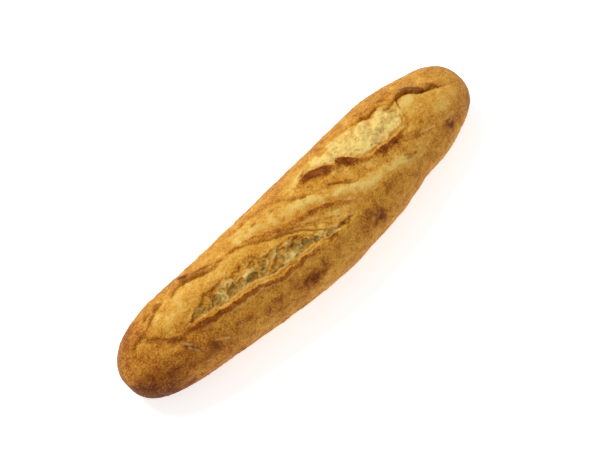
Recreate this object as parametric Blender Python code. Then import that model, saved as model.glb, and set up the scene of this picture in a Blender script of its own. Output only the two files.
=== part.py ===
"""A small baguette: one solid loaf, 283 mm long, slashed four times along its crown.

The loaf lies along X and rests on the flat of its base at Z = 0, with the origin under the middle of its
bounding box. The slashes run aslant and overlap end to end. Across a slash, from +Y to -Y, come the lip of the
upper crust, a groove below it, the swollen bloom, a torn hollow of open crumb and the raised ear.
"""

import math
from dataclasses import dataclass

import bmesh
import bpy
from mathutils import Matrix, Vector, noise

# The loaf, in metres
LENGTH = 0.283
WIDTH = 0.069
HEIGHT = 0.054
BELLY = 0.42  # height of the widest line, as a share of HEIGHT
BELLY_DROP = 0.10  # how far that line sinks at the tips, as a share of HEIGHT
TAPER = 0.25  # share of the width lost at the tips
TAPER_POWER = 1.35
CROWN_DROP = 0.24  # share of the height lost at the tips
BLUNT_LEFT = 8.0  # a higher power rounds a tip later
BLUNT_RIGHT = 7.0
TIP_POWER = 0.42
BOW = 0.0034  # sideways bend of the centre line
BOW_REACH = 0.9
SWELL_FAR = 0.0015  # extra half width of the right half, less in the left one
SWELL_NEAR = 0.0007
CROWN_POWER = 2.2  # superellipse powers of the section above and below the belly
UNDERSIDE_POWER = 2.6
UNDERSIDE = 1.12  # depth of the round underside before the table flattens it, as a share of the belly's height

# The relief of a slash, in metres
EAR_HEIGHT = 0.0028
EAR_INSIDE = 0.0024
EAR_OUTSIDE = 0.0042
HOLLOW_DEPTH = 0.0030
HOLLOW_PLACE = 0.30  # how far in from the ear the hollow is deepest, as a share of the slash's width
HOLLOW_SPREAD = 0.20
BLOOM_HEIGHT = 0.0024
BLOOM_PLACE = 0.68
BLOOM_SPREAD = 0.26
GROOVE_DEPTH = 0.0030
GROOVE_INSIDE = 0.0016
GROOVE_SPREAD = 0.0026
LIP_HEIGHT = 0.0020
LIP_OUTSIDE = 0.0034
LIP_SPREAD = 0.0032
FULL_WIDTH = 0.016  # narrower slashes are shallower in proportion
END_FADE = 0.09

# The crust's own lumps, in metres
LUMP_HEIGHT = 0.0009
LUMP_SIZE = 0.026
CRAG_HEIGHT = 0.0007
CRAG_SIZE = 0.006

# The cage that is shaped into the loaf
ROUND_STEPS = 54
LONG_STEPS = 90
TIP_CROWDING = 0.45  # how much closer together the rings lie at the tips
CROWN_CROWDING = 0.50  # and the lengthwise lines on the crown

CRUST_COLOUR = (0.60, 0.31, 0.09, 1.0)
CRUST_ROUGHNESS = 0.62


@dataclass(frozen=True)
class Slash:
    """A cut from start to end in plan; bow bends it towards +Y, and fullest is where along it it is widest."""

    start: tuple
    end: tuple
    width: float
    bow: float
    fullest: float


SLASHES = (
    Slash(start=(-0.129, 0.0155), end=(0.021, -0.0190), width=0.0300, bow=0.0040, fullest=0.33),
    Slash(start=(-0.042, 0.0165), end=(0.077, -0.0175), width=0.0120, bow=-0.0030, fullest=0.50),
    Slash(start=(0.002, 0.0180), end=(0.087, 0.0060), width=0.0250, bow=-0.0010, fullest=0.64),
    Slash(start=(0.068, 0.0090), end=(0.127, -0.0040), width=0.0300, bow=-0.0010, fullest=0.42),
)


def tip(along):
    """1 along most of the loaf, falling to 0 round each tip; along runs from -1 to 1."""
    blunt = BLUNT_LEFT if along < 0 else BLUNT_RIGHT
    return max(1 - abs(along) ** blunt, 0) ** TIP_POWER


def centre_line(along):
    return -BOW * math.cos(math.pi * min(abs(along) / BOW_REACH, 1))


def belly_height(along):
    return HEIGHT * (BELLY - BELLY_DROP * abs(along) ** 3)


def half_width(along, side):
    swell = SWELL_FAR if side > 0 else SWELL_NEAR
    straight = WIDTH / 2 * (1 - TAPER * abs(along) ** TAPER_POWER)
    return (straight + swell * math.sin(math.pi * along)) * tip(along)


def section_point(along, bearing):
    """A point of the smooth loaf; bearing is 0 on the crown and grows towards +Y."""
    across = math.sin(bearing)
    upward = math.cos(bearing)
    power = CROWN_POWER if upward > 0 else UNDERSIDE_POWER
    belly = belly_height(along)
    if upward > 0:
        reach = (HEIGHT * (1 - CROWN_DROP * along**2) - belly) * tip(along)
    else:
        reach = belly * UNDERSIDE * tip(along)
    y = centre_line(along) + half_width(along, across) * math.copysign(abs(across) ** (2 / CROWN_POWER), across)
    z = belly + reach * math.copysign(abs(upward) ** (2 / power), upward)
    return Vector((along * LENGTH / 2, y, z))


def hump(distance, spread):
    return math.exp(-((distance / spread) ** 2))


def slash_relief(slash, x, y):
    """How far one slash lifts the crust at a point in plan, negative where it cuts in."""
    chord = Vector(slash.end) - Vector(slash.start)
    offset = Vector((x, y)) - Vector(slash.start)
    along = offset.dot(chord) / chord.length_squared
    if not 0 < along < 1:
        return 0
    sideways = chord.orthogonal().normalized()
    if sideways.y < 0:
        sideways.negate()
    power = math.log(0.5) / math.log(slash.fullest)
    width = slash.width * math.sin(math.pi * along**power) ** 0.6
    from_near = offset.dot(sideways) - slash.bow * math.sin(math.pi * along) + width / 2
    from_far = width - from_near
    share = from_near / max(width, 1e-6)
    depth = min(width / FULL_WIDTH, 1) * min(along / END_FADE, (1 - along) / END_FADE, 1)

    ear = EAR_HEIGHT * hump(from_near, EAR_INSIDE if from_near > 0 else EAR_OUTSIDE)
    lip = LIP_HEIGHT * hump(from_far + LIP_OUTSIDE, LIP_SPREAD)
    groove = -GROOVE_DEPTH * hump(from_far - GROOVE_INSIDE, GROOVE_SPREAD)
    hollow = -HOLLOW_DEPTH * hump(share - HOLLOW_PLACE, HOLLOW_SPREAD)
    bloom = BLOOM_HEIGHT * hump(share - BLOOM_PLACE, BLOOM_SPREAD)
    return depth * (ear + lip + groove + hollow + bloom)


def in_slash(slash, x, y):
    """1 in the middle of a slash and 0 outside it, for the roughness of its crumb."""
    middle = (Vector(slash.start) + Vector(slash.end)) / 2
    chord = Vector(slash.end) - Vector(slash.start)
    offset = Vector((x, y)) - middle
    along = offset.dot(chord) / chord.length_squared * 2
    across = (offset - chord * along / 2).length / slash.width * 2
    return max(1 - along**2 - across**2, 0)


def lumps(point):
    """Slow swellings all over the crust, and short crags in the open crumb."""
    slow = LUMP_HEIGHT * noise.noise(point / LUMP_SIZE)
    torn = max(in_slash(slash, point.x, point.y) for slash in SLASHES)
    return slow + CRAG_HEIGHT * torn * noise.noise(point / CRAG_SIZE)


def shape_point(direction):
    """Carries a point of the unit sphere, whose poles lie on X, to the finished loaf."""
    turn = math.acos(max(-1, min(1, -direction.x))) / math.pi
    even = 2 * turn - 1
    along = (1 - TIP_CROWDING) * even + TIP_CROWDING * math.sin(math.pi / 2 * even)
    round_share = math.atan2(direction.y, direction.z) / math.pi
    bearing = math.pi * ((1 - CROWN_CROWDING) * round_share + CROWN_CROWDING * round_share**3)
    point = section_point(along, bearing)

    axis = Vector((point.x, centre_line(along), belly_height(along)))
    outward = point - axis
    if outward.length > 0:
        outward.normalize()
    upper = max(outward.z, 0) ** 0.5
    rise = lumps(point) + upper * sum(slash_relief(slash, point.x, point.y) for slash in SLASHES)
    point += outward * rise * tip(along)
    point.z = max(point.z, 0)
    return point


def crust_material():
    material = bpy.data.materials.new("crust")
    material.use_nodes = True
    shader = material.node_tree.nodes["Principled BSDF"]
    shader.inputs["Base Color"].default_value = CRUST_COLOUR
    shader.inputs["Roughness"].default_value = CRUST_ROUGHNESS
    shader.inputs["Metallic"].default_value = 0
    return material


def stand_on_origin(mesh):
    """Moves the loaf so that the middle of its bounding box is over the origin."""
    xs = [vertex.co.x for vertex in mesh.verts]
    ys = [vertex.co.y for vertex in mesh.verts]
    middle = Vector(((min(xs) + max(xs)) / 2, (min(ys) + max(ys)) / 2, 0))
    bmesh.ops.translate(mesh, verts=mesh.verts, vec=-middle)


def make_loaf(collection):
    mesh = bmesh.new()
    poles_on_x = Matrix.Rotation(math.pi / 2, 4, "Y")
    bmesh.ops.create_uvsphere(mesh, u_segments=ROUND_STEPS, v_segments=LONG_STEPS, radius=1, matrix=poles_on_x)
    for vertex in mesh.verts:
        vertex.co = shape_point(vertex.co.normalized())
    stand_on_origin(mesh)
    bmesh.ops.triangulate(mesh, faces=mesh.faces)
    bmesh.ops.recalc_face_normals(mesh, faces=mesh.faces)

    data = bpy.data.meshes.new("baguette")
    mesh.to_mesh(data)
    mesh.free()
    data.shade_smooth()
    data.materials.append(crust_material())
    collection.objects.link(bpy.data.objects.new("baguette", data))


def main():
    for leftover in list(bpy.data.objects):
        bpy.data.objects.remove(leftover)
    collection = bpy.data.collections.new("baguette")
    bpy.context.scene.collection.children.link(collection)
    make_loaf(collection)


main()
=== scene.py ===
import math
import bpy
import numpy as np
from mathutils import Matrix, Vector


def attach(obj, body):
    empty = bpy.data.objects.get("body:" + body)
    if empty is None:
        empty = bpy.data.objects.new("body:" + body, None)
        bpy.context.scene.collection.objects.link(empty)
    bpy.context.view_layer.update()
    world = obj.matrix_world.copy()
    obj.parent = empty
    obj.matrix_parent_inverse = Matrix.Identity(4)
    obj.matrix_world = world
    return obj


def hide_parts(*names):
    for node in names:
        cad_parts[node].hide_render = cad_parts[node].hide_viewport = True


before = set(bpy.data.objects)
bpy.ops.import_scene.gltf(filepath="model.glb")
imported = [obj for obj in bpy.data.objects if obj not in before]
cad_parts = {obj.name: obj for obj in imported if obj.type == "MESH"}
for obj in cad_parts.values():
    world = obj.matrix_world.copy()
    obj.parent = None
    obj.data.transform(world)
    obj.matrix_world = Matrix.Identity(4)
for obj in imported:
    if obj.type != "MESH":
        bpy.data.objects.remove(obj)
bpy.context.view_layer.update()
mm = 0.001
print("frame loaded")


# ---- small helpers: all sculpting is worked out in millimetres ----

def deselectAll():
    for thing in bpy.context.selected_objects:
        thing.select_set(False)


def pick(thing):
    deselectAll()
    thing.select_set(True)
    bpy.context.view_layer.objects.active = thing


def readPoints(thing):
    flat = np.empty(len(thing.data.vertices) * 3, np.float32)
    thing.data.vertices.foreach_get("co", flat)
    return flat.reshape(-1, 3).astype(float)


def writePoints(thing, points):
    thing.data.vertices.foreach_set("co", points.astype(np.float32).ravel())
    thing.data.update()


def paint(thing, name, values):  # a value for each point, read by the materials
    layer = thing.data.attributes.new(name, "FLOAT", "POINT")
    layer.data.foreach_set("value", np.clip(values, 0, 1).astype(np.float32))


def rampUp(value, low, high):  # smooth step from 0 at low to 1 at high
    t = np.clip((value - low) / (high - low), 0, 1)
    return t * t * (3 - 2 * t)


def hump(distance, spread):
    return np.exp(-(distance / spread) ** 2)


def softNoise(points, size, seed):  # smooth random values from -1 to 1, with features of that size
    table = np.random.RandomState(seed).uniform(-1, 1, 4096)
    scaled = points / size + 1000.0
    cell = np.floor(scaled).astype(int)
    part = scaled - cell
    part = part * part * (3 - 2 * part)
    total = 0
    for corner in np.ndindex(*(2,) * points.shape[1]):
        at = cell + np.array(corner)
        weight = np.prod(np.where(np.array(corner) == 1, part, 1 - part), axis=1)
        mixed = sum(at[:, k] * prime for k, prime in zip(range(at.shape[1]), (73, 1777, 3319)))
        total = total + weight * table[(mixed ^ (mixed >> 5)) % 4096]
    return total


def roughNoise(points, size, seed, layers=3):
    total = 0
    for layer in range(layers):
        total = total + softNoise(points, size / 2**layer, seed + layer) / 2**layer
    return total


def throughPoints(spots):  # a smooth curve y(x) through a few points
    xs, ys = np.array(spots, float).T
    slopes = np.gradient(ys, xs)

    def curve(x):
        at = np.clip(np.searchsorted(xs, x) - 1, 0, len(xs) - 2)
        span = xs[at + 1] - xs[at]
        t = np.clip((x - xs[at]) / span, 0, 1)
        start = (2 * t**3 - 3 * t**2 + 1) * ys[at] + (t**3 - 2 * t**2 + t) * span * slopes[at]
        return start + (3 * t**2 - 2 * t**3) * ys[at + 1] + (t**3 - t**2) * span * slopes[at + 1]
    return curve


# ---- the loaf's smooth form, as it was before it was slashed ----

loaf = {
    "length": 283, "width": 69, "height": 54,
    "belly": 0.42, "bellyDrop": 0.10,  # the widest line's height, and its fall at the tips
    "taper": 0.25, "taperPower": 1.35, "crownDrop": 0.24,
    "bluntLeft": 8.0, "bluntRight": 7.0, "tipPower": 0.42,
    "bow": 3.4, "bowReach": 0.9, "swellFar": 1.5, "swellNear": 0.7,
    "crownPower": 2.2, "undersidePower": 2.6, "underside": 1.12,
}


def tipFall(along):
    blunt = np.where(along < 0, loaf["bluntLeft"], loaf["bluntRight"])
    return np.maximum(1 - np.abs(along) ** blunt, 0) ** loaf["tipPower"]


def centreLine(along):
    return -loaf["bow"] * np.cos(np.pi * np.minimum(np.abs(along) / loaf["bowReach"], 1))


def bellyHeight(along):
    return loaf["height"] * (loaf["belly"] - loaf["bellyDrop"] * np.abs(along) ** 3)


def crownReach(along):
    return (loaf["height"] * (1 - loaf["crownDrop"] * along**2) - bellyHeight(along)) * tipFall(along)


def halfWidth(along, side):
    swell = np.where(side > 0, loaf["swellFar"], loaf["swellNear"]) * np.sin(np.pi * along)
    straight = loaf["width"] / 2 * (1 - loaf["taper"] * np.abs(along) ** loaf["taperPower"])
    return (straight + swell) * tipFall(along)


def roundPoint(along, bearing):  # bearing is 0 on the crown and grows towards +Y
    across, upward = np.sin(bearing), np.cos(bearing)
    above = upward > 0
    power = np.where(above, loaf["crownPower"], loaf["undersidePower"])
    reach = np.where(above, crownReach(along), bellyHeight(along) * loaf["underside"] * tipFall(along))
    sideways = np.copysign(np.abs(across) ** (2 / loaf["crownPower"]), across)
    y = centreLine(along) + halfWidth(along, across) * sideways
    z = bellyHeight(along) + reach * np.copysign(np.abs(upward) ** (2 / power), upward)
    return np.stack([along * loaf["length"] / 2, y, z], axis=1)


def crownPoint(x, y):  # the point of the smooth crown over a place in plan
    along = np.clip(x / (loaf["length"] / 2), -1, 1)
    offset = y - centreLine(along)
    share = np.clip(np.abs(offset) / np.maximum(halfWidth(along, offset), 1e-6), 0, 0.999)
    lift = (1 - share ** loaf["crownPower"]) ** (1 / loaf["crownPower"])
    return np.stack([x, y, bellyHeight(along) + crownReach(along) * lift], axis=1)


def outwardOf(points):
    along = points[:, 0] / (loaf["length"] / 2)
    axis = np.stack([points[:, 0], centreLine(along), bellyHeight(along)], axis=1)
    away = points - axis
    return away / np.maximum(np.linalg.norm(away, axis=1, keepdims=True), 1e-6)


# ---- the four slashes: in each the dough opened between a far and a near edge ----
# lip and groove are the height outside and the depth inside the far edge, ear and drop those of the near edge

# line is the pale line on the ear's ridge, rubbed flour with a painted highlight; groove also sets painted
# shade in the groove
slashOne = {
    "seed": 11, "bloom": 1.4,
    "far": [(-126, 12), (-119, 14), (-112, 17.5), (-101, 20), (-89, 19.5), (-79, 18.6), (-72, 15.2),
            (-63, 11.4), (-50, 11.5), (-43, 9.8), (-37, 6), (-30, 1.2), (-22, -3), (-15, -6.2),
            (-9, -10.4), (-4, -14.8), (1, -18.4), (12, -21.6), (25, -23.5)],
    "near": [(-126, 12), (-119, 8), (-112, 2.5), (-104, -3.5), (-92, -6.5), (-80, -9.5), (-70, -12.2),
             (-57, -13.8), (-50, -15.4), (-42, -19), (-30, -20.6), (-12, -22), (0, -24.4), (12, -24.8),
             (25, -23.5)],
    "lip": [(-126, 0), (-108, 0.2), (-90, 0.4), (-82, 1.4), (-72, 1.5), (-63, 0.9), (-58, 0.1),
            (-48, 0.2), (-38, 0.5), (-20, 1.0), (0, 0.5), (12, 0.2), (25, 0)],
    "groove": [(-126, 0.2), (-108, 0.4), (-90, 0.5), (-80, 1.1), (-70, 1.3), (-63, 0.7), (-58, 0.1),
               (-48, 0.2), (-38, 0.5), (-20, 0.8), (-5, 0.6), (12, 0.3), (25, 0)],
    "ear": [(-126, 0), (-112, 0.2), (-98, 0.6), (-88, 1.3), (-60, 1.7), (-40, 1.6), (-12, 1.0), (8, 0.4),
            (25, 0)],
    "drop": [(-126, 0), (-112, 0.5), (-98, 0.3), (-88, 0.5), (-20, 0.5), (0, 0.3), (25, 0)],
    "band": [(-126, 1.5), (-104, 2.2), (-80, 2.9), (-57, 3.3), (-46, 2.3), (-12, 2.8), (25, 1)],
    "bandDark": [(-126, 0), (-108, 0.35), (-94, 0.8), (-88, 0.98), (-74, 0.98), (-69, 0.7), (-62, 0.95),
                 (-56, 0.75), (-46, 0.8), (-34, 0.74), (-12, 0.55), (-6, 0.1), (25, 0)],
    "line": [(-126, 0), (-92, 0), (-74, 0.3), (-66, 0.9), (-40, 0.8), (-22, 0.6), (-12, 0), (25, 0)],
    "bandFade": 0.8,
}
slashTwo = {
    "seed": 23, "bloom": 0.9,
    "far": [(-44, 20), (-28, 19.6), (-14, 16), (-5, 13.2), (1, 8.8), (6, 5), (14, 1.6), (24, -1.8),
            (32, -7.8), (45, -11.2), (56, -14), (66, -17.2), (77, -21)],
    "near": [(-44, 11.5), (-36, 9), (-30, 5.5), (-22, 1.6), (-14, -0.4), (-8, -2.6), (0, -4.4), (8, -6.8),
             (17, -11.2), (25, -15.8), (33, -19), (45, -20.3), (60, -20.4), (77, -21)],
    "lip": [(-44, 0.1), (-28, 0.3), (-10, 0.4), (2, 0.8), (12, 0.6), (28, 0.8), (40, 0.2), (66, 0.2),
            (73, 0.6), (77, 0)],
    "groove": [(-44, 0.1), (-28, 0.3), (-10, 0.2), (1, 0.8), (9, 0.3), (18, 0.3), (28, 1.0), (36, 0.2),
               (66, 0.2), (73, 0.9), (77, 0)],
    "ear": [(-44, 0.2), (-30, 1.0), (5, 1.5), (18, 1.2), (30, 0.5), (60, 0.2), (77, 0)],
    "drop": [(-44, 0.1), (-30, 0.6), (5, 0.9), (18, 0.7), (30, 0.3), (77, 0)],
    "band": [(-44, 1.5), (-30, 2.6), (-10, 3.2), (0, 3.8), (12, 3.4), (20, 2.6), (30, 1.5), (77, 1)],
    "bandDark": [(-44, 0.1), (-32, 0.3), (-15, 0.34), (-8, 0.5), (-3, 0.42), (3, 0.6), (16, 0.52),
                 (24, 0.25), (32, 0), (77, 0)],
    "line": [(-44, 0), (-30, 0.1), (18, 0.2), (30, 0), (77, 0)],
    "bandFade": 0.4,
}
slashThree = {
    "seed": 37, "bloom": 1.0,
    "far": [(0, 15), (8, 18.4), (20, 20.8), (40, 21.4), (58, 20.6), (67, 19.2), (72, 17), (78, 17.4),
            (84, 15.6), (89, 9)],
    "near": [(0, 15), (9, 12.8), (14, 13.2), (20, 12.8), (24, 10.8), (28, 7.4), (31, 5.6), (35, 6.6),
             (40, 4), (46, -1), (51, -3.4), (60, -4.6), (70, -5.4), (77, -4.8), (84, -2.5), (89, 4)],
    "lip": [(0, 0), (20, 0.2), (58, 0.3), (70, 1.0), (80, 0.7), (89, 0)],
    "groove": [(0, 0), (20, 0.3), (58, 0.5), (70, 1.4), (80, 0.8), (89, 0)],
    "ear": [(0, 0.2), (12, 1.6), (27, 2.4), (38, 2.5), (46, 1.2), (60, 0.9), (75, 1.0), (84, 0.4),
            (89, 0.1)],
    "drop": [(0, 0.1), (12, 0.7), (38, 0.9), (60, 0.8), (75, 0.5), (89, 0.1)],
    "band": [(0, 1.5), (11, 4.0), (26, 5.0), (31, 3.0), (38, 5.6), (46, 3.4), (52, 2.6), (62, 4.6),
             (72, 3.4), (80, 2), (89, 1.5)],
    # bandDark is the ear's toasted band; its peak from 59 to 67 is painted shade under the crumb's overhang
    "bandDark": [(0, 0.05), (8, 0.3), (12, 0.8), (27, 0.98), (29.5, 0.6), (31.5, 0.6), (34, 0.95),
                 (43, 0.95), (48, 0.45), (54, 0.4), (59, 1.0), (67, 1.0), (75, 0.7), (81, 0.25),
                 (89, 0.05)],
    "line": [(0, 0), (89, 0)],
    "bandFade": 0.6,
}
slashFour = {
    "seed": 53, "bloom": 1.5,
    "far": [(73, -9), (79, -6.5), (84.5, -3.5), (87.5, 2), (88.5, 8), (90.5, 12.2), (95, 13.4), (99, 13),
            (102, 11.6), (105.4, 8.4), (108.6, 6), (113, 4.6), (119, 2.2), (127, -1), (132, -5)],
    "near": [(73, -9), (80, -12), (90, -14.6), (100, -15.6), (110, -15.8), (120, -13), (127, -9),
             (132, -5)],
    "lip": [(73, 0.1), (84, 0.2), (88, 0.5), (91, 1.8), (98, 2.8), (105, 2.4), (113, 1.2), (120, 0.7),
            (132, 0)],
    "groove": [(73, 0.1), (84, 0.4), (88, 1.0), (91, 1.9), (98, 2.0), (105, 2.0), (113, 1.2), (120, 0.6),
               (132, 0)],
    "ear": [(73, 0.1), (90, 0.8), (105, 0.8), (120, 0.6), (132, 0)],
    "drop": [(73, 0.1), (90, 0.3), (120, 0.2), (132, 0)],
    "band": [(73, 1.5), (132, 1.5)],
    "bandDark": [(73, 0.6), (82, 0.5), (90, 0.25), (132, 0)],
    "line": [(73, 0), (82, 0.2), (90, 0.4), (100, 0.5), (112, 0.5), (122, 0.3), (132, 0)],
    "bandFade": 0.5,
}
slashes = [slashOne, slashTwo, slashThree, slashFour]
slashForm = {
    "wall": 0.8, "lipSpread": 3.0, "earSpread": 3.6, "grooveSpread": 1.1, "dropSpread": 2.2,
    "overhang": 0.6, "jagged": 0.62, "jaggedSize": 3.2, "endFade": 6.0,
}
for slash in slashes:
    slash["curves"] = {key: throughPoints(spots) for key, spots in slash.items() if isinstance(spots, list)}
    slash["start"], slash["end"] = slash["far"][0][0], slash["far"][-1][0]


def edgeDistance(curve, sign, seed, ends, x, y, jagged):  # how far inside one edge a place lies
    held = np.clip(x, *ends)
    slope = np.clip(curve(held + 0.5) - curve(held - 0.5), -2.5, 2.5)
    line = np.stack([held, np.full_like(held, seed)], axis=1)
    room = np.minimum(held - ends[0], ends[1] - held)
    ragged = roughNoise(line, slashForm["jaggedSize"], seed) * rampUp(room, 0, slashForm["endFade"])
    edge = curve(held) + jagged * ragged
    beyond = np.maximum(ends[0] - x, x - ends[1])
    within = sign * (edge - y) / np.sqrt(1 + slope**2)
    return np.where(beyond > 0, np.minimum(within, -beyond), within)


def slashDistances(slash, x, y):
    ends = (slash["start"], slash["end"])
    return (edgeDistance(slash["curves"]["far"], 1, slash["seed"], ends, x, y, slashForm["jagged"]),
            edgeDistance(slash["curves"]["near"], -1, slash["seed"] + 5, ends, x, y, slashForm["jagged"]))


# ---- where the torn crumb shows: a bed of its own in slash one and in slash three ----

bedOne = {
    "name": "crumbBedOne", "seed": 71, "depth": 0.9, "pores": 300, "poreSize": (0.4, 2.0), "poreDepth": 0.5,
    "lumps": ((0.6, 6.0), (0.6, 3.0), (0.42, 1.3)), "soft": 2.4,
    "far": [(-100, -3), (-95, -1.6), (-90, -0.2), (-80, 2.0), (-66, 2.0), (-57, 0), (-50, 2.0),
            (-45, -0.3), (-40, -4.2), (-34, -5.3), (-20, -7.0), (-14, -9.4), (-9, -13.6), (-4, -17.2),
            (2, -19.4), (12, -20.8), (23, -22.4)],
    "near": [(-100, -3), (-94, -4.2), (-90, -5.4), (-80, -7.8), (-70, -10.2), (-57, -11.6), (-50, -12.8),
             (-42, -16.6), (-30, -18.4), (-12, -20.2), (0, -23.0), (12, -23.6), (23, -22.4)],
    "holes": [(-84, -4.0, 1.6, 0.9), (-75, -4.2, 3.0, 1.5), (-64, -7.2, 3.2, 1.7), (-51, -9.6, 3.9, 2.2),
              (-41.5, -7.6, 2.4, 1.5), (-33, -12.5, 2.8, 1.5), (-28, -9.4, 2.0, 1.4),
              (-21, -13.0, 2.2, 1.6), (-14.5, -15.4, 2.0, 2.2), (-17, -10.6, 1.8, 1.3),
              (-8, -18.6, 1.8, 1.5), (-36, -15.8, 2.6, 1.4), (-57.5, -6.6, 1.8, 1.2),
              (-69, -3.0, 1.8, 1.0), (1, -21.4, 1.6, 0.9), (-90, -3.0, 1.2, 0.7), (-46, -3.2, 1.4, 0.9),
              (-59, -2.2, 1.4, 0.9), (11, -22.2, 2.4, 0.9), (18, -22, 1.6, 0.7)],
    "shade": 0.5, "gold": 0.95, "farGold": 1.1, "poreFloorShading": 0.2, "toast": 0.54, "poreShade": 1.0,
}
bedTwo = {
    "name": "crumbBedTwo", "seed": 83, "depth": 0.0, "pores": 230, "poreSize": (0.35, 1.2), "poreDepth": 0.8,
    "lumps": ((0.8, 7.0), (0.9, 3.6), (0.42, 1.6)), "soft": 4.0,
    "far": [(8, 15.5), (18, 19), (30, 20), (42, 20.4), (56, 19.4), (66, 18), (72, 16.4), (78, 16.6),
            (83, 14.5), (87.5, 7)],
    "near": [(8, 15.5), (14, 14.2), (20, 13.6), (25, 11.4), (30, 6.8), (35, 7.2), (41, 4.2), (47, -0.6),
             (52, -2.8), (60, -4.0), (70, -4.7), (77, -4.1), (83, -1.8), (87.5, 7)],
    "holes": [(39.5, 11.5, 1.1, 1.5), (46.5, 14, 1.3, 1.5), (41, 14, 1.4, 1.0), (62, 5.5, 1.4, 0.9),
              (62.5, -2.6, 0.9, 1.6), (33, 9.4, 1.2, 0.9), (54, 9, 1.2, 0.9), (58, 0, 1.0, 0.9),
              (70, 2, 1.3, 0.8), (49, 3.5, 1.4, 1.0), (15.5, 16.6, 1.0, 1.2), (84, 8.5, 1.2, 1.0)],
    "shade": 0.0, "gold": 0.75, "farGold": 1.2, "poreFloorShading": 0, "toast": 0.30, "poreShade": 0.5,
}
beds = [bedOne, bedTwo]
bedForm = {"step": 0.29, "sunk": 5.0, "torn": 1.0, "proud": 0.06, "covers": 2.2, "margin": 3.4, "bury": 3.0}
for bed in beds:
    bed["curves"] = {key: throughPoints(bed[key]) for key in ("far", "near")}
    bed["start"], bed["end"] = bed["far"][0][0], bed["far"][-1][0]


def bedInside(bed, x, y):  # how far inside the bed's torn outline a place lies
    ends = (bed["start"], bed["end"])
    return np.minimum(edgeDistance(bed["curves"]["far"], 1, bed["seed"], ends, x, y, bedForm["torn"]),
                      edgeDistance(bed["curves"]["near"], -1, bed["seed"] + 5, ends, x, y, 0.8))


# ---- marks laid on the crown one by one, as strokes in plan ----

creases = [  # depth, width, way: creases pressed in, with painted shade in them and a wider painted shade around them
    (0.7, 0.6, [(-80, 19), (-76, 17.6), (-72, 15.2), (-64, 11.6), (-60.5, 11)]),
    (0.7, 0.5, [(-79, 23.6), (-75, 20.8), (-71, 18.4), (-64, 15), (-61, 13.6)]),
    (0.8, 0.8, [(-114, 12.5), (-108, 15.5), (-102, 18.2), (-98, 18.8)]),
    (1.0, 0.6, [(-112, 18.6), (-109.5, 19.8), (-107.6, 19.4)]),
    (1.0, 0.7, [(-110.6, 14.6), (-108.6, 16.4), (-106.8, 15.6)]),
    (0.9, 0.9, [(-78.6, 25), (-77.4, 19.6)]),
    (0.7, 1.0, [(-101.5, 20), (-100, 20.6)]),
    (0.9, 1.0, [(-90.4, 17.4), (-88.8, 17.8)]),
    (0.9, 0.9, [(-81, 17.9), (-79.4, 18.5)]),
    (1.1, 0.7, [(-126, 10.8), (-124.6, 12.8), (-122.6, 12.4)]),
    (1.2, 0.8, [(-122, 10.6), (-120.4, 13), (-118.4, 12)]),
    (1.1, 0.8, [(-118, 10.4), (-116.4, 12.8)]),
    (1.0, 0.9, [(-58, 12.8), (-55.6, 12)]),
    (0.6, 0.8, [(-47, 11), (-45, 11)]),
    (0.8, 0.7, [(-118, 8), (-113, 3), (-108, -2.4), (-105, -6)]),
    (0.9, 0.9, [(-28, 13.6), (-26.4, 13.4)]),
    (0.9, 1.0, [(-14.6, 12.8), (-13, 12.2)]),
    (0.9, 0.8, [(-1.4, 8.6), (0.6, 7.6)]),
    (0.9, 0.7, [(2.6, 5.8), (5.4, 4.4)]),
    (0.5, 0.5, [(-18, -3.6), (-10, -7.4), (-2, -12.6), (6, -18)]),
    (0.4, 0.5, [(-6, -8.6), (2, -13), (12, -17.6)]),
    (1.0, 0.6, [(-1, -24.6), (1.4, -24), (4, -24.6)]),
    (1.0, 0.6, [(10.6, -22.4), (14, -24), (15.6, -23.4)]),
    (0.7, 0.45, [(21, -0.6), (27, -3.6), (33, -8.4)]),
    (0.6, 0.6, [(66, 19.4), (68.5, 18.4), (71, 16.6), (75, 16.6), (79, 17)]),
    (0.9, 0.8, [(15, 16.6), (16.2, 16.2)]),
    (1.2, 1.0, [(81, 12.4), (86, 12.2), (91, 12.6)]),
    (0.9, 1.0, [(98.6, 14.2), (102, 12.4), (105.4, 9.2), (108.4, 6.8)]),
    (1.0, 0.8, [(111, 5.4), (114, 4.4), (118.5, 2.4)]),
    (0.5, 1.4, [(82.6, 4.4), (84.4, 2.6)]),
    (0.7, 0.8, [(91, -8.4), (92.4, -8.6)]),
    (0.8, 0.7, [(76.4, -20.4), (72, -18.6), (69, -17.2)]),
    (0.5, 0.5, [(-105.5, -10), (-100.5, -16.4)]),
    (0.5, 0.9, [(106.6, -18.6), (107.6, -19.4)]),
]
scratches = [  # height, width, way: thin raised edges painted pale, rubbed flour with a painted highlight along the ridge
    (0.35, 0.5, [(-113.5, -0.6), (-111, -3.6), (-109, -6)]),
    (0.55, 0.55, [(-106.5, -7), (-103, -11.2), (-99, -16.4)]),
    (0.40, 0.5, [(-104.5, -12), (-101, -16.8)]),
    (0.25, 0.4, [(-90, -19), (-83, -23)]),
    (0.30, 0.55, [(-75, -22.6), (-70, -24.6)]),
    (0.35, 0.5, [(20.5, -12.8), (24, -15.6), (27.5, -18.2)]),
    (0.30, 0.45, [(24, -14), (27, -16), (30, -18.2)]),
    (0.30, 0.30, [(19.4, -11), (23, -13.2)]),
    (0.30, 0.35, [(10, 2.4), (15, 0.6), (19, -0.4)]),
    (0.30, 0.35, [(97, 18.8), (102, 16.2), (106, 13), (110, 9.2)]),
    (0.30, 0.35, [(-13, -4.6), (-6, -7.6), (2, -11)]),
    (0.30, 0.45, [(60, -20.6), (68, -20.8), (76, -21.4), (82, -20.2)]),
    (0.40, 0.5, [(80, -10.8), (88, -13.6), (96, -14.8), (104, -15.2), (114, -15)]),
]
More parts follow.
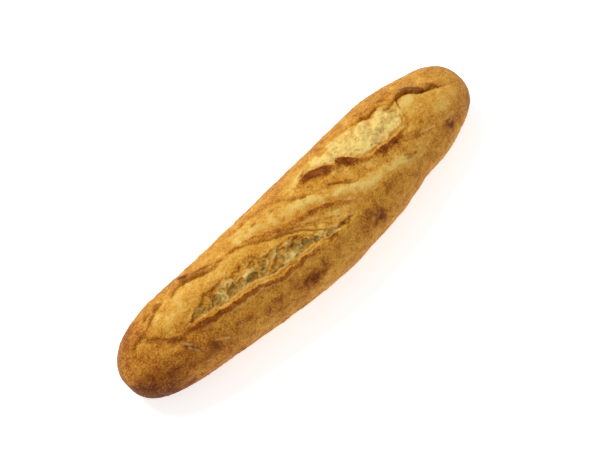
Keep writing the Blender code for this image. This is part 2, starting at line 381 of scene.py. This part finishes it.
brownings = [  # strength, width, way: positive bakes darker, negative paler; the three marks noted below paint shade and light instead
    (0.18, 1.3, [(-79, 24), (-75, 20.6), (-71, 18), (-62, 14)]),
    (0.24, 1.6, [(-78.6, 25), (-77, 20)]),
    (0.14, 2.6, [(-84, 23), (-75, 20.6), (-68, 16), (-60, 13)]),
    (0.26, 2.4, [(-117, 7.4), (-113, 2.4), (-108, -3.4), (-104, -7)]),
    (0.16, 3.0, [(-110, 5), (-105, 1.8), (-99, -0.6)]),
    (0.34, 2.0, [(-110, -1.8), (-107, -4.6)]),
    (0.20, 1.6, [(-105, -10), (-102, -13)]),
    (0.16, 2.6, [(-98, -3.4), (-92, -9)]),
    (-0.20, 3.8, [(-101.5, 6.6), (-96, 9.6), (-90, 13)]),
    (-0.12, 3.0, [(-88, 15.4), (-80, 14.5)]),
    (-0.10, 4.0, [(-72, 9), (-60, 6.4)]),
    (-0.16, 1.2, [(-90, -4.8), (-80, -8), (-70, -10.6), (-57, -12), (-50, -13.4), (-42, -17.4), (-30, -19),
                  (-12, -20.6)]),
    (-0.20, 1.6, [(-122, 10.6), (-124.5, 9.6)]),
    (0.24, 1.6, [(-80, 2.4), (-70, 2.0), (-66, 2.2), (-57, -0.4), (-52, 1.6), (-46, 0.8), (-42, -3)]),
    (0.20, 1.2, [(-94, 1.4), (-86, 2.4), (-80, 3)]),
    (0.20, 0.9, [(-51, 11.6), (-44, 9.8), (-38, 7)]),
    (0.22, 2.4, [(-36, 6.6), (-30, 4), (-22, -0.8), (-15, -3)]),
    (0.24, 1.6, [(-10, -4.4), (-4, -6.4)]),
    # painted shade under the crumb's overhang in slash three
    (0.30, 2.4, [(58, -6.6), (64, -7), (70, -7.6)]),
    (0.26, 1.3, [(70, -7.4), (77, -8.6), (82, -11), (88, -13.6)]),
    (0.30, 2.4, [(-96, -6.4), (-88, -9)]),
    (0.16, 2.2, [(1, -5), (8, -7.6), (16, -12)]),
    (0.16, 1.0, [(-36, 20.4), (-28, 20.2), (-14, 16.8), (-5, 14.2)]),
    # painted light: paler on the ridge's near slope, which is turned away from the lamp
    (-0.18, 3.0, [(22, 4.6), (32, 0.6), (44, -5.4), (54, -9)]),
    (-0.16, 3.4, [(-6, -10.6), (6, -14), (14, -18)]),
    (-0.20, 3.6, [(-40, 13.4), (-28, 11)]),
    (-0.26, 3.4, [(-20, 8), (-8, 5)]),
    (-0.36, 2.2, [(-3, 5.2), (8, 0.2)]),
    (-0.30, 2.6, [(12, -3.4), (30, -11)]),
    (-0.34, 3.0, [(34, -14), (52, -16.6), (68, -18.6)]),
    (-0.16, 3.0, [(-6, -14), (10, -17.6), (28, -22)]),
    (-0.26, 5.0, [(4, 16), (24, 17)]),
    (-0.40, 5.0, [(30, 14), (60, 8), (80, 6)]),
    (0.16, 2.2, [(66, 20.6), (84, 18.6)]),
    (0.24, 2.6, [(85, 17.2), (93, 17.2), (98, 15.6), (102, 14), (106, 11), (109, 8), (116, 6)]),
    # painted shade on the underside of slash four's far lip
    (0.26, 1.6, [(98, 14.8), (102, 12.8), (105.6, 9.4), (108.6, 7)]),
    (0.20, 1.6, [(114, 5.6), (124, 2.4)]),
    (-0.34, 3.4, [(87, 5.6), (96, 6.6)]),
    (-0.08, 4.0, [(100, -8), (112, -8), (122, -7)]),
    (0.10, 2.0, [(99, -11), (106, -11)]),
    (0.16, 3.0, [(79, -1), (84, 2.6), (87, 1)]),
    (0.28, 2.0, [(106, -18.6), (108.4, -19.6)]),
    (0.22, 2.4, [(-46, -21.4), (-44, -22.4)]),
]
scorches = [  # caramel patches on the flanks and tips: place, reach and strength
    ((32, -31.5, 37), (8, 3.6, 9), 0.55), ((27, -28, 45), (4, 3, 6), 0.2),
    ((-22, -31, 39), (9, 3.6, 9), 0.62), ((-12, -32, 41), (6, 2.6, 5), 0.2),
    ((-52, -28, 42), (9, 3.2, 6), 0.34), ((-94, -22, 38), (7, 4, 6), 0.22),
    ((48, -25, 48), (5, 3, 6), 0.26), ((107, -19, 38), (5, 3, 6), 0.26),
    ((4, -28, 45), (5, 3, 5), 0.14), ((-134, -12, 20), (8, 8, 10), 0.3),
    ((-122, -20, 16), (12, 7, 9), 0.26), ((130, -14, 22), (7, 7, 10), 0.16),
    ((104, 14, 40), (5, 4, 6), 0.2), ((-112, -16, 39), (8, 5, 6), 0.12),
    ((-68, -24, 42), (7, 3, 5), 0.16), ((-40, -30, 30), (26, 8, 8), 0.10),
    ((60, -28, 28), (30, 8, 8), 0.08),
]


squeezes = [  # x, reach, side, depth: where a flank is slimmer than the smooth form
    (-72, 16, 1, 1.2), (108, 18, 1, 1.8), (82, 12, -1, 1.6),
]


def stroke(plan, way, width):  # 1 on the way, falling off over its width
    near = np.full(len(plan), 1e3)
    for first, last in zip(way, way[1:]):
        step = np.subtract(last, first)
        share = np.clip((plan - first) @ step / max(step @ step, 1e-9), 0, 1)
        near = np.minimum(near, np.linalg.norm(plan - first - share[:, None] * step, axis=1))
    return hump(near, width)


# ---- the crust: one closed skin with lips, ears, grooves and blooms in it ----

crustPlan = {
    "roundSteps": 186, "longSteps": 522, "tipCrowding": 0.12, "crownCrowding": 0.62,
    "lumps": ((0.55, 24), (0.34, 8)), "wrinkle": 0.42, "wrinkleSize": 3.2, "grain": 0.13, "grainSize": 1.5,
    "blister": 0.9, "blisterSize": 3.2,
}


def slashField(slash, x, y, plan):
    form = slashForm
    a, b = slashDistances(slash, x, y)
    held = np.clip(x, slash["start"], slash["end"])
    half = form["endFade"] / 2
    fade = rampUp(x, slash["start"] - half, slash["start"] + half)
    fade = fade * rampUp(-x, -slash["end"] - half, -slash["end"] + half)
    ragged = 1 + 0.30 * softNoise(plan, 3.0, slash["seed"] + 7)
    lip, groove, ear, drop, dark, line = (slash["curves"][key](held) * fade
                                          for key in ("lip", "groove", "ear", "drop", "bandDark", "line"))
    band = slash["curves"]["band"](held) * (1 + 0.22 * softNoise(plan, 4.0, slash["seed"] + 8))
    pastFar, pastNear = rampUp(a, 0, form["wall"]), rampUp(b, 0, form["wall"])
    alongFar, alongNear = rampUp(b, -0.5, 1.5), rampUp(a, -0.5, 1.5)
    rise = lip * ragged * hump(np.minimum(a, 0), form["lipSpread"]) * (1 - pastFar) * alongFar
    rise -= groove * pastFar * hump(np.maximum(a - form["wall"], 0), form["grooveSpread"]) * alongFar
    crest = hump(np.minimum(b, 0) + band * 0.35 * (b < 0), form["earSpread"])
    rise += ear * ragged * crest * (1 - pastNear) * alongNear
    rise -= drop * pastNear * hump(np.maximum(b - form["wall"], 0), form["dropSpread"]) * alongNear
    share = np.clip(b / np.maximum(a + b, 0.5), 0, 1)
    inside = (a > 0) & (b > 0)
    rise += slash["bloom"] * np.where(inside, np.sin(np.pi * share) ** 0.8, 0) * rampUp(a + b, 2, 12) * fade
    slide = -form["overhang"] * lip / 2.4 * hump(a, 0.9) * (1 - pastFar) * alongFar
    slide += form["overhang"] * ear / 2.4 * hump(b, 0.9) * (1 - pastNear) * alongNear
    lipMark = hump(np.minimum(a, 0), 2.0) * rampUp(lip, 0.3, 2.2) * (1 - pastFar) * alongFar
    bandMark = rampUp(-b, -0.4, 0.5) * (1 - rampUp(-b, band * slash["bandFade"], band * 1.12))
    bandMark = bandMark * dark * alongNear
    lineMark = hump(b + band, 0.34) * line * alongNear
    # painted shade: the groove under the far lip is coloured dark, as if lying in its shadow
    hollow = pastFar * hump(np.maximum(a - 0.3, 0), 0.7) * rampUp(groove, 0.2, 1.8) * alongFar
    bloomMark = rampUp(np.minimum(a, b), 0, 2.5) * fade
    return rise, slide, lipMark, bandMark, lineMark, hollow, bloomMark


def skinField(points):  # the skin's height over its smooth form, sideways slide, baking, flour with painted highlight lines, and painted shade in hollows
    x, y = points[:, 0], points[:, 1]
    outward = outwardOf(points)
    upper = rampUp(outward[:, 2], 0.02, 0.30)
    plan = points[:, :2]
    warped = plan + np.stack([roughNoise(plan, 3.0, 61), roughNoise(plan, 3.0, 67)], axis=1) * 0.55
    rise = sum(height * softNoise(points, size, 3 + k) for k, (height, size) in enumerate(crustPlan["lumps"]))
    rise -= crustPlan["wrinkle"] * np.abs(softNoise(points * (0.7, 1, 1), crustPlan["wrinkleSize"], 5))
    rise += crustPlan["grain"] * roughNoise(points, crustPlan["grainSize"], 6, 2)
    rise += crustPlan["blister"] * np.maximum(softNoise(points, crustPlan["blisterSize"], 8) - 0.5, 0)
    for at, reach, side, depth in squeezes:
        rise -= depth * hump(x - at, reach) * rampUp(side * outward[:, 1], 0.2, 0.9)
    slide = np.zeros_like(x)
    marks = [np.zeros_like(x) for _ in range(5)]
    for slash in slashes:
        more = slashField(slash, x, y, plan)
        rise += more[0] * upper
        slide += more[1] * upper
        marks = [np.maximum(had, new * upper) for had, new in zip(marks, more[2:])]
    lipMark, bandMark, lineMark, hollow, bloomMark = marks
    darker = np.zeros_like(x)
    for depth, width, way in creases:
        mark = stroke(warped, way, width) * upper
        rise -= depth * 0.8 * mark
        # painted shade in the crease, and a wider band of painted shade around it in the bake
        hollow = np.maximum(hollow, mark * min(depth, 1) * 0.8)
        darker += 0.12 * stroke(warped, way, width * 1.8) * upper
    for height, width, way in scratches:
        mark = stroke(plan, way, width) * upper
        rise += height * mark
        lineMark = np.maximum(lineMark, mark)

    bake = 0.42 + 0.08 * softNoise(points, 20, 31) + 0.11 * roughNoise(points, 7, 32, 4)
    bake += 0.04 * rampUp(-outward[:, 1], 0.30, 0.95) + 0.10 * rampUp(outward[:, 1], 0.45, 1.0)
    bake += 0.10 * rampUp(0.15 - outward[:, 2], 0, 0.8)
    bake += (0.22 * rampUp(-x, 104, 132) + 0.08 * rampUp(x, 118, 138)
             + 0.18 * rampUp(-x, 56, 100) * rampUp(-outward[:, 1], 0.1, 0.6))
    bake -= 0.09 * bloomMark
    for place, reach, strength in scorches:
        away = (points + 1.2 * softNoise(points, 4, 44)[:, None] - np.array(place)) / np.array(reach)
        bake += strength * np.exp(-(away**2).sum(axis=1)) * (1 + 0.6 * softNoise(points, 2.6, 41))
    patchy = 0.8 + 0.5 * softNoise(plan, 2.6, 43)
    for strength, width, way in brownings:
        darker += strength * stroke(warped, way, width) * patchy * upper
    bake = bake + darker
    bake = bake + (0.66 - bake) * lipMark * 0.45 * patchy
    bake = bake + (0.92 - bake) * np.clip(bandMark * (0.95 + 0.2 * softNoise(plan, 3.2, 33)), 0, 1)
    return rise, slide, bake, lineMark * rampUp(softNoise(points, 3, 35), -0.9, 0.5), hollow


def makeCrust():
    deselectAll()
    bpy.ops.mesh.primitive_uv_sphere_add(segments=crustPlan["roundSteps"], ring_count=crustPlan["longSteps"],
                                         radius=1, rotation=(0, math.pi / 2, 0))
    skin = bpy.context.object
    skin.name = skin.data.name = "crust"
    bpy.ops.object.transform_apply(location=False, rotation=True, scale=True)
    ball = readPoints(skin)
    ball /= np.linalg.norm(ball, axis=1, keepdims=True)
    even = 2 * np.arccos(np.clip(-ball[:, 0], -1, 1)) / np.pi - 1
    crowd = crustPlan["tipCrowding"]
    along = (1 - crowd) * even + crowd * np.sin(np.pi / 2 * even)
    turn = np.arctan2(ball[:, 1], ball[:, 2]) / np.pi
    crowd = crustPlan["crownCrowding"]
    points = roundPoint(along, np.pi * ((1 - crowd) * turn + crowd * turn**3))
    rise, slide, bake, flour, hollow = skinField(points)
    outward = outwardOf(points)
    upper = rampUp(outward[:, 2], 0.02, 0.30)
    for bed in beds:
        inside = bedInside(bed, points[:, 0], points[:, 1])
        sunk = rampUp(inside, 0.8 - bedForm["covers"], 1.5 - bedForm["covers"]) * upper
        rise -= bedForm["sunk"] * sunk
    moved = points + outward * (rise * tipFall(along))[:, None]
    moved[:, 1] += slide
    moved[:, 2] = np.maximum(moved[:, 2], 0)
    writePoints(skin, moved * mm)
    paint(skin, "bake", bake)
    paint(skin, "flour", flour)
    paint(skin, "hollow", hollow)
    paint(skin, "crumb", np.zeros(len(points)))
    paint(skin, "shade", np.zeros(len(points)))
    pick(skin)
    bpy.ops.object.shade_smooth()
    print("crust sculpted,", len(points), "points")
    return skin


# ---- the crumb beds ----

def makeBed(bed):
    rim = bedForm["margin"]
    span = bed["end"] - bed["start"] + 2 * rim
    between = np.linspace(bed["start"], bed["end"], 60)
    widest = (bed["curves"]["far"](between) - bed["curves"]["near"](between)).max() + 3 * rim
    deselectAll()
    bpy.ops.mesh.primitive_grid_add(x_subdivisions=int(span / bedForm["step"]),
                                    y_subdivisions=int(widest / bedForm["step"]), size=2)
    crumb = bpy.context.object
    crumb.name = crumb.data.name = bed["name"]
    flat = readPoints(crumb)
    x = (flat[:, 0] + 1) / 2 * span + bed["start"] - rim
    held = np.clip(x, bed["start"], bed["end"])
    low, high = bed["curves"]["near"](held) - 1.5 * rim, bed["curves"]["far"](held) + 1.5 * rim
    y = low + (high - low) * (flat[:, 1] + 1) / 2
    plan = np.stack([x, y], axis=1)
    seed = bed["seed"]
    inside = bedInside(bed, x, y)
    points = crownPoint(x, y)
    rise, slide, bake, flour, hollow = skinField(points)
    lumps = sum(height * softNoise(plan, size, seed + k) for k, (height, size) in enumerate(bed["lumps"]))

    # pores: overlapping bowls, whose rims stay as thin walls between them; the walls get painted shade, most
    # on the side turned from the light
    draw = np.random.RandomState(seed + 30)
    small, large = bed["poreSize"]
    pores = list(bed["holes"])
    for _ in range(bed["pores"]):
        px = draw.uniform(bed["start"], bed["end"])
        py = draw.uniform(-25, 21)
        size = small + (large - small) * draw.uniform() ** 2.2
        if bed["curves"]["near"](px) < py < bed["curves"]["far"](px):
            pores.append((px, py, size, size * bed["poreDepth"]))
    bowl, wall, poreFloorShade = np.zeros_like(x), np.zeros_like(x), np.zeros_like(x)
    for px, py, size, depth in pores:
        close = np.abs(x - px) < size * 2.2
        lean = draw.uniform(-0.5, 0.5)
        wide = draw.uniform(1.0, 1.7)
        off = np.stack([(x[close] - px) + lean * (y[close] - py), (y[close] - py) * wide], axis=1)
        ragged = 1 + 0.38 * softNoise(plan[close] + size * 7, max(size, 0.8), seed + 9)
        cup = np.sqrt(np.clip(1 - (np.linalg.norm(off, axis=1) / (size * 1.15 * ragged)) ** 2, 0, 1))
        bowl[close] = np.maximum(bowl[close], cup * depth)
        turnedFromLight = rampUp(x[close] - px - y[close] + py, -size, size)
        shaded = hump(cup - 0.4, 0.35) * (cup > 0) * (0.5 + 0.5 * turnedFromLight)
        wall[close] = np.maximum(wall[close], shaded * min(depth / 1.9, 1))
        poreFloorShade[close] = np.maximum(poreFloorShade[close], cup * min(size / 3, 1))
    torn = rampUp(inside, 0, 1.1)
    rise = rise + bedForm["proud"] + torn * (lumps - bed["depth"]) - bowl * rampUp(inside, -0.2, 0.8)
    rise -= bedForm["bury"] * rampUp(-inside, bedForm["covers"], bedForm["covers"] + 0.9)
    moved = points + outwardOf(points) * rise[:, None]
    moved[:, 1] += slide
    writePoints(crumb, moved * mm)

    deep = (y - low) / (high - low)
    gold = rampUp(roughNoise(plan, 4.5, seed + 6) + bed["farGold"] * (deep - 0.5), 0.0, 0.8) * bed["gold"]
    paint(crumb, "bake", bake + (bed["toast"] - bake) * torn * 0.7)
    paint(crumb, "crumb", rampUp(inside + 0.8 * lumps, -0.4, bed["soft"]) * (1 - gold))
    # painted shade: on the pore walls and in the low places between lumps
    poreShade = bed["poreShade"] * np.clip(wall + 0.35 * rampUp(-lumps, 0, 1.2), 0, 1) * torn
    paint(crumb, "hollow", np.maximum(hollow, poreShade))
    # painted shade: the crumb is dimmed in low places between lumps and on the pore floors
    paint(crumb, "shade", (bed["shade"] - 0.35 * lumps + bed["poreFloorShading"] * poreFloorShade) * torn)
    paint(crumb, "flour", flour)

    pick(crumb)  # close it: its rim goes down into the loaf and is filled
    bpy.ops.object.mode_set(mode="EDIT")
    bpy.ops.mesh.select_all(action="SELECT")
    bpy.ops.mesh.region_to_loop()
    bpy.ops.mesh.extrude_region_move(TRANSFORM_OT_translate={"value": (0, 0, -5 * mm)})
    bpy.ops.mesh.edge_face_add()
    bpy.ops.mesh.select_all(action="SELECT")
    bpy.ops.mesh.normals_make_consistent(inside=False)
    bpy.ops.object.mode_set(mode="OBJECT")
    bpy.ops.object.shade_smooth()
    print(bed["name"], "sculpted,", len(x), "points")
    return crumb


# ---- materials ----

class Flow:  # a socket that takes + - and *
    def __init__(self, bench, socket):
        self.bench, self.socket = bench, socket

    def joined(self, operation, first, second):
        made = self.bench.node("ShaderNodeMath", {"operation": operation}, {0: first, 1: second})
        return made["Value"]

    def __add__(self, other):
        return self.joined("ADD", self, other)

    def __sub__(self, other):
        return self.joined("SUBTRACT", self, other)

    def __rsub__(self, other):
        return self.joined("SUBTRACT", other, self)

    def __mul__(self, other):
        return self.joined("MULTIPLY", self, other)

    __radd__, __rmul__ = __add__, __mul__


class Bench:  # one material and its nodes
    def __init__(self, name):
        self.material = bpy.data.materials.new(name)
        self.material.use_nodes = True
        self.tree = self.material.node_tree
        self.shader = self.tree.nodes["Principled BSDF"]

    def put(self, socket, value):
        if isinstance(value, Flow):
            self.tree.links.new(value.socket, socket)
        elif isinstance(value, tuple) and len(value) == 3 and socket.type == "RGBA":
            socket.default_value = (*value, 1)
        else:
            socket.default_value = value

    def node(self, kind, settings, inputs):
        made = self.tree.nodes.new(kind)
        for key, value in settings.items():
            if key == "stops":
                for _ in value[2:]:
                    made.color_ramp.elements.new(0.5)
                for stop, (place, colour) in zip(made.color_ramp.elements, value):
                    stop.position, stop.color = place, (*colour, 1)
            else:
                setattr(made, key, value)
        for key, value in inputs.items():
            self.put(made.inputs[key], value)
        return {out.name: Flow(self, out) for out in made.outputs if out.enabled}

    def finish(self, **sockets):
        for key, value in sockets.items():
            self.put(self.shader.inputs[key.replace("_", " ")], value)


def linear(red, green, blue):  # a colour given 0 to 255, as linear light
    return tuple(c / 255 / 12.92 if c <= 10 else ((c / 255 + 0.055) / 1.055) ** 2.4
                 for c in (red, green, blue))


breadColours = {
    "palest": linear(244, 206, 112), "gold": linear(232, 170, 66), "amber": linear(210, 142, 46),
    "brown": linear(172, 100, 24), "darkest": linear(116, 54, 8),
    # the pit tones are painted shade for grooves, creases and pores; crumbShade also serves as painted shade
    # in the crumb's low places
    "crumb": linear(255, 220, 130), "crumbShade": linear(180, 140, 62), "pitShade": linear(128, 78, 16),
    "crumbPitShade": linear(138, 92, 24), "flour": linear(234, 182, 106),
}


def breadMaterial(name, roughness):
    bench = Bench(name)
    place = bench.node("ShaderNodeTexCoord", {}, {})["Object"]

    def spread(key):
        return bench.node("ShaderNodeAttribute", {"attribute_name": key}, {})["Fac"]

    def noise(size, detail, rough):
        made = bench.node("ShaderNodeTexNoise", {},
                          {"Vector": place, "Scale": 1 / (size * mm), "Detail": detail, "Roughness": rough})
        return made["Fac"]

    def clamp(value, low, high):
        made = bench.node("ShaderNodeMapRange", {"interpolation_type": "SMOOTHSTEP"},
                          {"Value": value, "From Min": low, "From Max": high})
        return made["Result"]

    def mixed(factor, first, second):
        made = bench.node("ShaderNodeMix", {"data_type": "RGBA"}, {"Factor": factor, 6: first, 7: second})
        return made["Result"]

    mottle = noise(4.5, 4, 0.62) - 0.5
    fine = noise(1.2, 3, 0.7) - 0.5
    bake = spread("bake") + mottle * 0.7 + fine * spread("bake") * (1 - spread("bake")) * 4.6
    tone = bench.node("ShaderNodeValToRGB", {"stops": [
        (0.05, breadColours["palest"]), (0.30, breadColours["gold"]), (0.50, breadColours["amber"]),
        (0.72, breadColours["brown"]), (1.0, breadColours["darkest"])]}, {"Fac": bake})["Color"]
    crumbTone = mixed(clamp(noise(2.2, 3, 0.6) - 0.5 + spread("shade"), 0.0, 0.8), breadColours["crumb"],
                      breadColours["crumbShade"])
    tone = mixed(spread("crumb"), tone, crumbTone)
    pitShade = mixed(spread("crumb"), breadColours["pitShade"], breadColours["crumbPitShade"])
    # painted shade: grooves, creases and pores take the dark pit tone
    tone = mixed(spread("hollow") * 0.75, tone, pitShade)
    specks = clamp(noise(1.0, 2, 0.6), 0.58, 0.70) * clamp(noise(5, 2, 0.5), 0.34, 0.6) * 0.6
    # rubbed flour and flour specks, with painted highlights along the ridge lines
    tone = mixed(spread("flour") * 0.8 + specks, tone, breadColours["flour"])
    bump = bench.node("ShaderNodeBump", {},
                      {"Height": fine + mottle * 0.4, "Strength": 0.8, "Distance": 1.6 * mm})
    bench.finish(Base_Color=tone, Roughness=roughness, Normal=bump["Normal"])
    bench.shader.inputs["Subsurface Weight"].default_value = 0.12
    bench.shader.inputs["Subsurface Scale"].default_value = 1.5 * mm
    bench.shader.inputs["Specular IOR Level"].default_value = 0.08
    return bench.material


# ---- put the pieces together ----

pieces = [makeCrust()] + [makeBed(bed) for bed in beds]
crustMaterial = breadMaterial("bakedCrust", 0.55)
crumbMaterial = breadMaterial("openCrumb", 0.72)

skinPoints = readPoints(pieces[0])
middle = (skinPoints.min(axis=0) + skinPoints.max(axis=0)) / 2
shift = np.array([-middle[0], -middle[1], 0])
for piece in pieces:
    writePoints(piece, readPoints(piece) + shift)
    piece.data.materials.append(crustMaterial if piece is pieces[0] else crumbMaterial)
    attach(piece, "root")
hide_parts("baguette")
print("pieces placed, shift", shift)


# ---- floor, light and camera ----

studio = {
    "azimuth": -45, "elevation": 68, "distance": 1.0, "lens": 100, "aim": (-1.5, 1.2, 27),
    "key": 12.5, "keyPlace": (-0.15, 0.85, 1.15), "keySize": 0.6, "sky": 0.5, "floorGlow": 0.62,
}

deselectAll()
bpy.ops.mesh.primitive_plane_add(size=6)
floor = bpy.context.object
floor.name = "floor"
floorBench = Bench("paleFloor")
floorBench.finish(Base_Color=(0.83, 0.83, 0.83), Roughness=0.9, Emission_Strength=studio["floorGlow"],
                  Emission_Color=(1, 1, 1))
floor.data.materials.append(floorBench.material)

world = bpy.data.worlds.new("softSky")
bpy.context.scene.world = world
world.use_nodes = True
world.node_tree.nodes["Background"].inputs["Color"].default_value = (1, 1, 1, 1)
world.node_tree.nodes["Background"].inputs["Strength"].default_value = studio["sky"]


def addLamp(name, place, size, power):
    data = bpy.data.lights.new(name, "AREA")
    data.shape, data.size, data.energy = "DISK", size, power
    lamp = bpy.data.objects.new(name, data)
    bpy.context.scene.collection.objects.link(lamp)
    lamp.location = place
    lamp.rotation_euler = (-Vector(place)).to_track_quat("-Z", "Y").to_euler()


addLamp("keyLamp", studio["keyPlace"], studio["keySize"], studio["key"])

turn, tilt = math.radians(studio["azimuth"]), math.radians(studio["elevation"])
back = Vector((math.sin(turn) * math.cos(tilt), -math.cos(turn) * math.cos(tilt), math.sin(tilt)))
aim = Vector(studio["aim"]) * mm + Vector(shift)
camera = bpy.data.objects.new("camera", bpy.data.cameras.new("camera"))
camera.data.lens, camera.data.sensor_width = studio["lens"], 36
camera.location = aim + back * studio["distance"]
camera.rotation_euler = back.to_track_quat("Z", "Y").to_euler()
bpy.context.scene.collection.objects.link(camera)
bpy.context.scene.camera = camera
bpy.context.scene.view_settings.view_transform = "Standard"
print("studio set")
